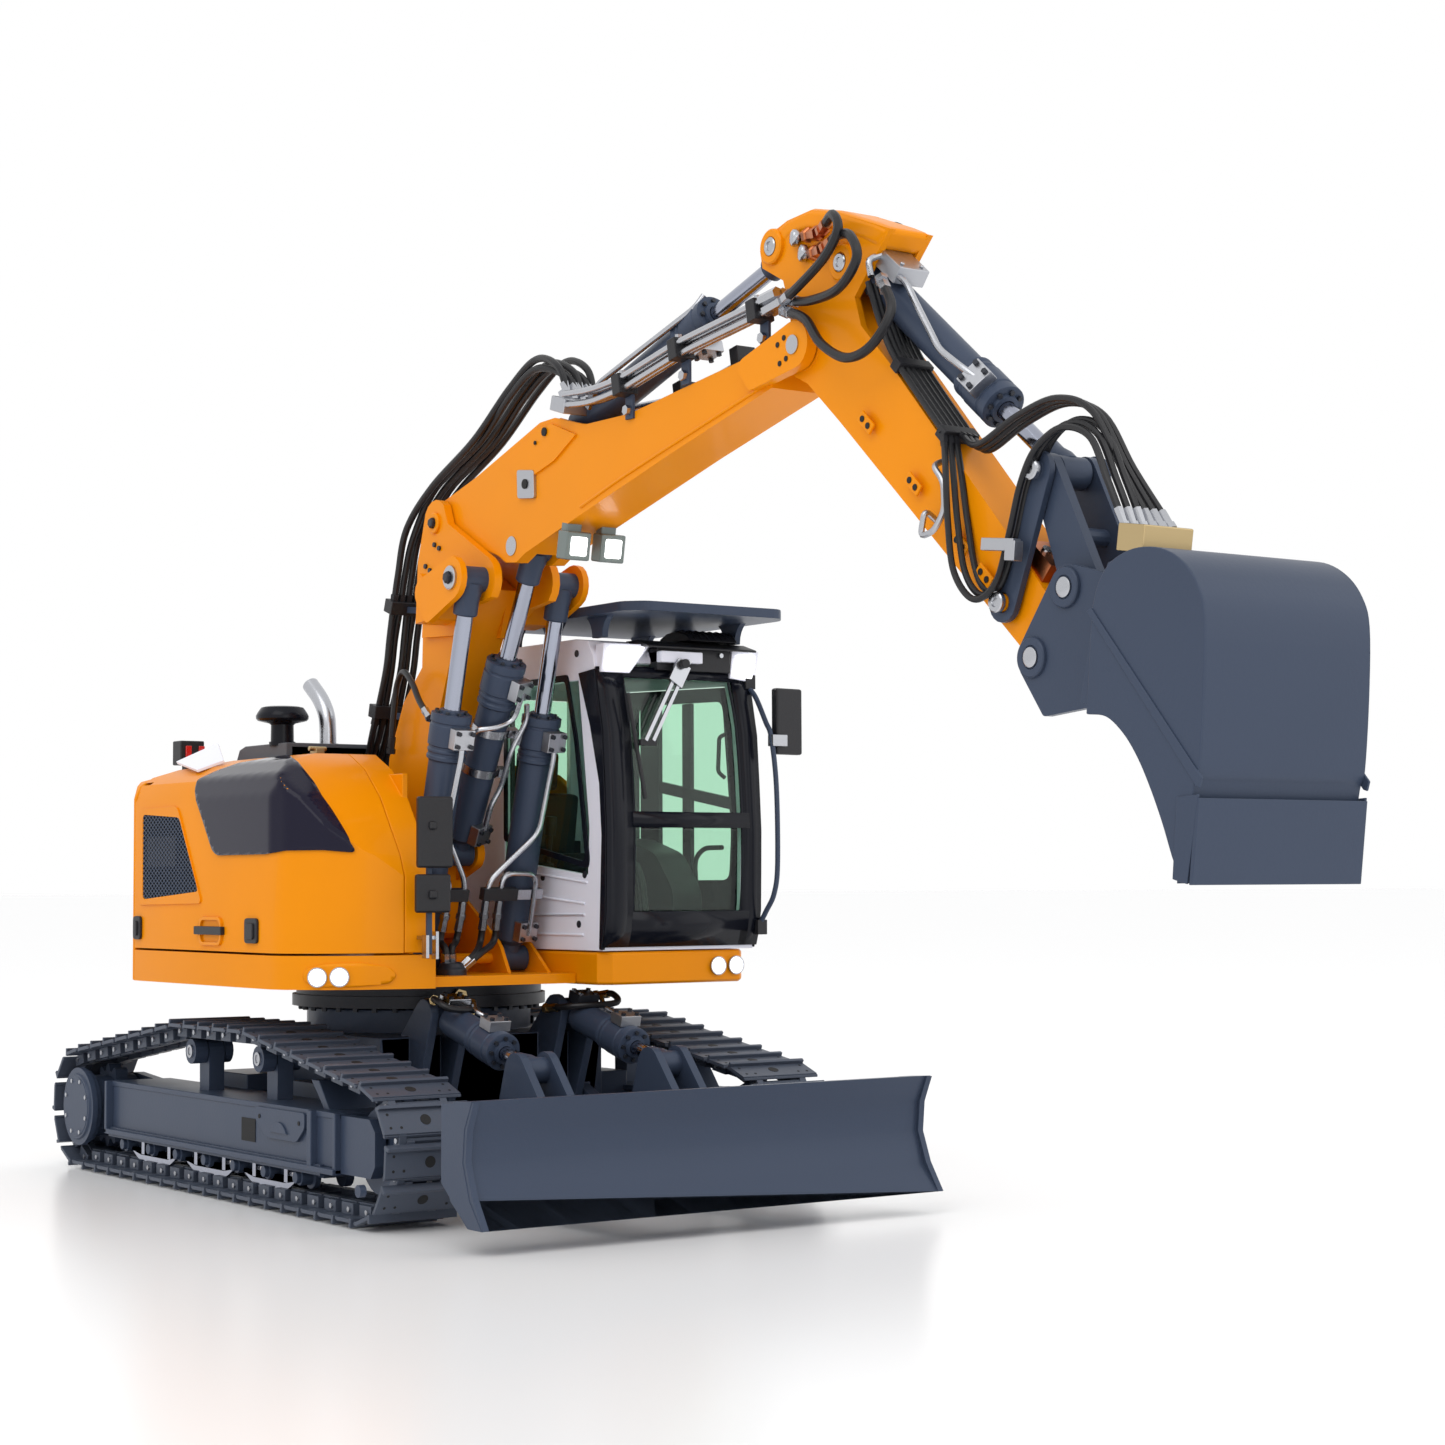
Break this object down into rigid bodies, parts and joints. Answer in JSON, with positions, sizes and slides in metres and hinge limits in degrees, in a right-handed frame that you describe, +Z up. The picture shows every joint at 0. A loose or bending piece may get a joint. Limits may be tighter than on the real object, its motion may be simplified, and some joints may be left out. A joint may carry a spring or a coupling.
{
  "type": "radio-controlled excavator",
  "caption": "Radio-controlled crawler excavator model: turning house with cab, two-piece boom, stick, bucket, hydraulic cylinders, tracks and a front dozer blade.",
  "frame": {"origin": "centre of the footprint box, on the ground under the tracks, blade and bucket reach", "axes": "+Z up from the ground; the machine faces -Y, with its blade and bucket at the low-Y end; +X is the operator's left, the cab side"},
  "size_m": [0.1816, 0.594, 0.311],
  "materials": {
    "orange": "gloss",
    "steel_blue": "satin",
    "track_grey": "satin",
    "black_metal": "satin",
    "gloss_black": "gloss",
    "cab_white": "satin",
    "chrome": "polished",
    "aluminium": "satin",
    "deck_grey": "matt",
    "glass": "gloss",
    "rubber": "matt",
    "seat_black": "matt",
    "battery_blue": "satin"
  },
  "bodies": {
    "undercarriage": {"car_body": "steel_blue", "slewing_ring": "black_metal", "track_frame_right": "steel_blue", "track_frame_left": "steel_blue", "track_chain_right": "track_grey", "track_chain_left": "track_grey", "roller_bank_right": "aluminium", "roller_bank_left": "aluminium"},
    "sprocket_right": {"sprocket_right": "steel_blue"},
    "idler_right": {"idler_right": "steel_blue"},
    "carrier_roller_rear_right": {"carrier_roller_rear_right": "steel_blue"},
    "carrier_roller_front_right": {"carrier_roller_front_right": "steel_blue"},
    "blade_barrel_right": {"blade_cylinder_right_barrel": "steel_blue"},
    "blade_rod_right": {"blade_cylinder_right_rod": "chrome"},
    "sprocket_left": {"sprocket_left": "steel_blue"},
    "idler_left": {"idler_left": "steel_blue"},
    "carrier_roller_rear_left": {"carrier_roller_rear_left": "steel_blue"},
    "carrier_roller_front_left": {"carrier_roller_front_left": "steel_blue"},
    "blade_barrel_left": {"blade_cylinder_left_barrel": "steel_blue"},
    "blade_rod_left": {"blade_cylinder_left_rod": "chrome"},
    "blade": {"dozer_blade": "steel_blue"},
    "house": {"upper_frame": "orange", "counterweight": "orange", "front_fender": "orange", "engine_deck": "deck_grey", "air_intake": "gloss_black", "exhaust_pipe": "chrome", "cab_base": "orange", "cab_shell": "cab_white", "windscreen": "glass", "right_window": "glass", "rear_window": "glass", "operator_seat": "seat_black", "roof_guard": "black_metal", "mirror_left": "black_metal", "mirror_right": "black_metal", "battery_pack": "battery_blue", "hydraulic_pump": "aluminium"},
    "hood_right": {"hood_right": "orange"},
    "hood_left": {"hood_left": "orange"},
    "cab_door": {"cab_door": "gloss_black"},
    "wiper": {"wiper": "black_metal"},
    "boom_base": {"boom_base": "orange", "boom_hoses": "rubber"},
    "boom_main": {"boom_main": "orange", "boom_pipes": "aluminium"},
    "stick": {"stick": "orange"},
    "bucket": {"bucket": "steel_blue"},
    "rocker": {"rocker_arm": "steel_blue"},
    "link": {"tipping_link": "steel_blue"},
    "lift_barrel_right": {"lift_cylinder_right_barrel": "steel_blue"},
    "lift_rod_right": {"lift_cylinder_right_rod": "chrome"},
    "lift_barrel_left": {"lift_cylinder_left_barrel": "steel_blue"},
    "lift_rod_left": {"lift_cylinder_left_rod": "chrome"},
    "adjust_barrel": {"adjust_cylinder_barrel": "steel_blue"},
    "adjust_rod": {"adjust_cylinder_rod": "chrome"},
    "stick_barrel": {"stick_cylinder_barrel": "steel_blue"},
    "stick_rod": {"stick_cylinder_rod": "chrome"},
    "bucket_barrel": {"bucket_cylinder_barrel": "steel_blue"},
    "bucket_rod": {"bucket_cylinder_rod": "chrome"}
  },
  "joints": [
    {"name": "slew", "type": "hinge", "parent": "undercarriage", "child": "house", "pos_m": [0, 0.155, 0.07], "axis": [0, 0, 1], "continuous": true},
    {"name": "sprocket_spin_right", "type": "hinge", "parent": "undercarriage", "child": "sprocket_right", "pos_m": [-0.0728, 0.273, 0.0242], "axis": [-1, 0, 0], "continuous": true},
    {"name": "idler_spin_right", "type": "hinge", "parent": "undercarriage", "child": "idler_right", "pos_m": [-0.0728, 0.037, 0.0242], "axis": [-1, 0, 0], "continuous": true},
    {"name": "carrier_spin_rear_right", "type": "hinge", "parent": "undercarriage", "child": "carrier_roller_rear_right", "pos_m": [-0.0728, 0.18, 0.05], "axis": [-1, 0, 0], "continuous": true},
    {"name": "carrier_spin_front_right", "type": "hinge", "parent": "undercarriage", "child": "carrier_roller_front_right", "pos_m": [-0.0728, 0.123, 0.05], "axis": [-1, 0, 0], "continuous": true},
    {"name": "sprocket_spin_left", "type": "hinge", "parent": "undercarriage", "child": "sprocket_left", "pos_m": [0.0728, 0.273, 0.0242], "axis": [-1, 0, 0], "continuous": true},
    {"name": "idler_spin_left", "type": "hinge", "parent": "undercarriage", "child": "idler_left", "pos_m": [0.0728, 0.037, 0.0242], "axis": [-1, 0, 0], "continuous": true},
    {"name": "carrier_spin_rear_left", "type": "hinge", "parent": "undercarriage", "child": "carrier_roller_rear_left", "pos_m": [0.0728, 0.18, 0.05], "axis": [-1, 0, 0], "continuous": true},
    {"name": "carrier_spin_front_left", "type": "hinge", "parent": "undercarriage", "child": "carrier_roller_front_left", "pos_m": [0.0728, 0.123, 0.05], "axis": [-1, 0, 0], "continuous": true},
    {"name": "blade_lift", "type": "hinge", "parent": "undercarriage", "child": "blade", "pos_m": [0, 0.08, 0.022], "axis": [-1, 0, 0], "range_deg": [-15, 12]},
    {"name": "blade_barrel_pivot_right", "type": "hinge", "parent": "undercarriage", "child": "blade_barrel_right", "pos_m": [-0.0266, 0.089, 0.065], "axis": [-1, 0, 0], "range_deg": [-10.19, 8.16]},
    {"name": "blade_rod_slide_right", "type": "slide", "parent": "blade_barrel_right", "child": "blade_rod_right", "axis": [0, -0.9661, -0.2582], "range_m": [-0.00814, 0.01017]},
    {"name": "blade_barrel_pivot_left", "type": "hinge", "parent": "undercarriage", "child": "blade_barrel_left", "pos_m": [0.0266, 0.089, 0.065], "axis": [-1, 0, 0], "range_deg": [-10.19, 8.16]},
    {"name": "blade_rod_slide_left", "type": "slide", "parent": "blade_barrel_left", "child": "blade_rod_left", "axis": [0, -0.9661, -0.2582], "range_m": [-0.00814, 0.01017]},
    {"name": "boom_lift", "type": "hinge", "parent": "house", "child": "boom_base", "pos_m": [-0.0095, 0.131, 0.1], "axis": [-1, 0, 0], "range_deg": [-45, 2]},
    {"name": "lift_barrel_pivot_right", "type": "hinge", "parent": "house", "child": "lift_barrel_right", "pos_m": [-0.028, 0.104, 0.084], "axis": [-1, 0, 0], "range_deg": [-45.62, 2.03]},
    {"name": "lift_rod_slide_right", "type": "slide", "parent": "lift_barrel_right", "child": "lift_rod_right", "axis": [0, -0.2607, 0.9654], "range_m": [-0.024, 0.00107]},
    {"name": "lift_barrel_pivot_left", "type": "hinge", "parent": "house", "child": "lift_barrel_left", "pos_m": [0.009, 0.104, 0.084], "axis": [-1, 0, 0], "range_deg": [-45.62, 2.03]},
    {"name": "lift_rod_slide_left", "type": "slide", "parent": "lift_barrel_left", "child": "lift_rod_left", "axis": [0, -0.2607, 0.9654], "range_m": [-0.024, 0.00107]},
    {"name": "boom_adjust", "type": "hinge", "parent": "boom_base", "child": "boom_main", "pos_m": [-0.0095, 0.102, 0.241], "axis": [-1, 0, 0], "range_deg": [-20, 8]},
    {"name": "adjust_barrel_pivot", "type": "hinge", "parent": "boom_base", "child": "adjust_barrel", "pos_m": [-0.0095, 0.109, 0.122], "axis": [-1, 0, 0], "range_deg": [-0.99, 0.4]},
    {"name": "adjust_rod_slide", "type": "slide", "parent": "adjust_barrel", "child": "adjust_rod", "axis": [0, -0.4606, 0.8876], "range_m": [-0.01713, 0.00685]},
    {"name": "stick_turn", "type": "hinge", "parent": "boom_main", "child": "stick", "pos_m": [-0.0095, -0.1139, 0.2705], "axis": [1, 0, 0], "range_deg": [-8, 60]},
    {"name": "stick_barrel_pivot", "type": "hinge", "parent": "boom_main", "child": "stick_barrel", "pos_m": [-0.0095, 0.0303, 0.2643], "axis": [1, 0, 0], "range_deg": [-0.48, 3.61]},
    {"name": "stick_rod_slide", "type": "slide", "parent": "stick_barrel", "child": "stick_rod", "axis": [0, -0.9565, 0.2918], "range_m": [-0.00474, 0.03558]},
    {"name": "bucket_turn", "type": "hinge", "parent": "stick", "child": "bucket", "pos_m": [-0.0095, -0.2205, 0.1697], "axis": [1, 0, 0], "range_deg": [-10, 80]},
    {"name": "rocker_pivot", "type": "hinge", "parent": "stick", "child": "rocker", "pos_m": [-0.0095, -0.205, 0.1857], "axis": [1, 0, 0], "range_deg": [-6.12, 48.93]},
    {"name": "link_pivot", "type": "hinge", "parent": "rocker", "child": "link", "pos_m": [-0.0095, -0.2195, 0.2198], "axis": [1, 0, 0], "range_deg": [-27.08, 3.39]},
    {"name": "bucket_barrel_pivot", "type": "hinge", "parent": "stick", "child": "bucket_barrel", "pos_m": [-0.0095, -0.1329, 0.292], "axis": [1, 0, 0], "range_deg": [-0.0951, 0.7601]},
    {"name": "bucket_rod_slide", "type": "slide", "parent": "bucket_barrel", "child": "bucket_rod", "axis": [0, -0.7681, -0.6404], "range_m": [-0.00382, 0.03057]},
    {"name": "cab_door_hinge", "type": "hinge", "parent": "house", "child": "cab_door", "pos_m": [0.0855, 0.139, 0.14], "axis": [0, 0, 1], "range_deg": [0, 80]},
    {"name": "hood_right_hinge", "type": "hinge", "parent": "house", "child": "hood_right", "pos_m": [-0.0495, 0.158, 0.1574], "axis": [0, 1, 0], "range_deg": [0, 60]},
    {"name": "hood_left_hinge", "type": "hinge", "parent": "house", "child": "hood_left", "pos_m": [0.05, 0.199, 0.1576], "axis": [0, -1, 0], "range_deg": [0, 60]},
    {"name": "wiper_sweep", "type": "hinge", "parent": "house", "child": "wiper", "pos_m": [0.0498, 0.0527, 0.1918], "axis": [0, 1, 0], "range_deg": [-10, 40]}
  ],
  "couplings": [
    {"joint": "idler_spin_right", "follows": "sprocket_spin_right", "ratio": 1},
    {"joint": "carrier_spin_rear_right", "follows": "sprocket_spin_right", "ratio": 3.449},
    {"joint": "carrier_spin_front_right", "follows": "sprocket_spin_right", "ratio": 3.449},
    {"joint": "idler_spin_left", "follows": "sprocket_spin_left", "ratio": 1},
    {"joint": "carrier_spin_rear_left", "follows": "sprocket_spin_left", "ratio": 3.449},
    {"joint": "carrier_spin_front_left", "follows": "sprocket_spin_left", "ratio": 3.449},
    {"joint": "blade_barrel_pivot_right", "follows": "blade_lift", "ratio": 0.6796},
    {"joint": "blade_rod_slide_right", "follows": "blade_lift", "m_per_rad": -0.038848},
    {"joint": "blade_barrel_pivot_left", "follows": "blade_lift", "ratio": 0.6796},
    {"joint": "blade_rod_slide_left", "follows": "blade_lift", "m_per_rad": -0.038848},
    {"joint": "lift_barrel_pivot_right", "follows": "boom_lift", "ratio": 1.0138},
    {"joint": "lift_rod_slide_right", "follows": "boom_lift", "m_per_rad": 0.030555},
    {"joint": "lift_barrel_pivot_left", "follows": "boom_lift", "ratio": 1.0138},
    {"joint": "lift_rod_slide_left", "follows": "boom_lift", "m_per_rad": 0.030555},
    {"joint": "adjust_barrel_pivot", "follows": "boom_adjust", "ratio": 0.0495},
    {"joint": "adjust_rod_slide", "follows": "boom_adjust", "m_per_rad": 0.049064},
    {"joint": "stick_barrel_pivot", "follows": "stick_turn", "ratio": 0.0602},
    {"joint": "stick_rod_slide", "follows": "stick_turn", "m_per_rad": 0.033974},
    {"joint": "rocker_pivot", "follows": "bucket_turn", "ratio": 0.6116},
    {"joint": "link_pivot", "follows": "bucket_turn", "ratio": -0.3385},
    {"joint": "bucket_barrel_pivot", "follows": "bucket_turn", "ratio": 0.0095},
    {"joint": "bucket_rod_slide", "follows": "bucket_turn", "m_per_rad": 0.021892}
  ]
}
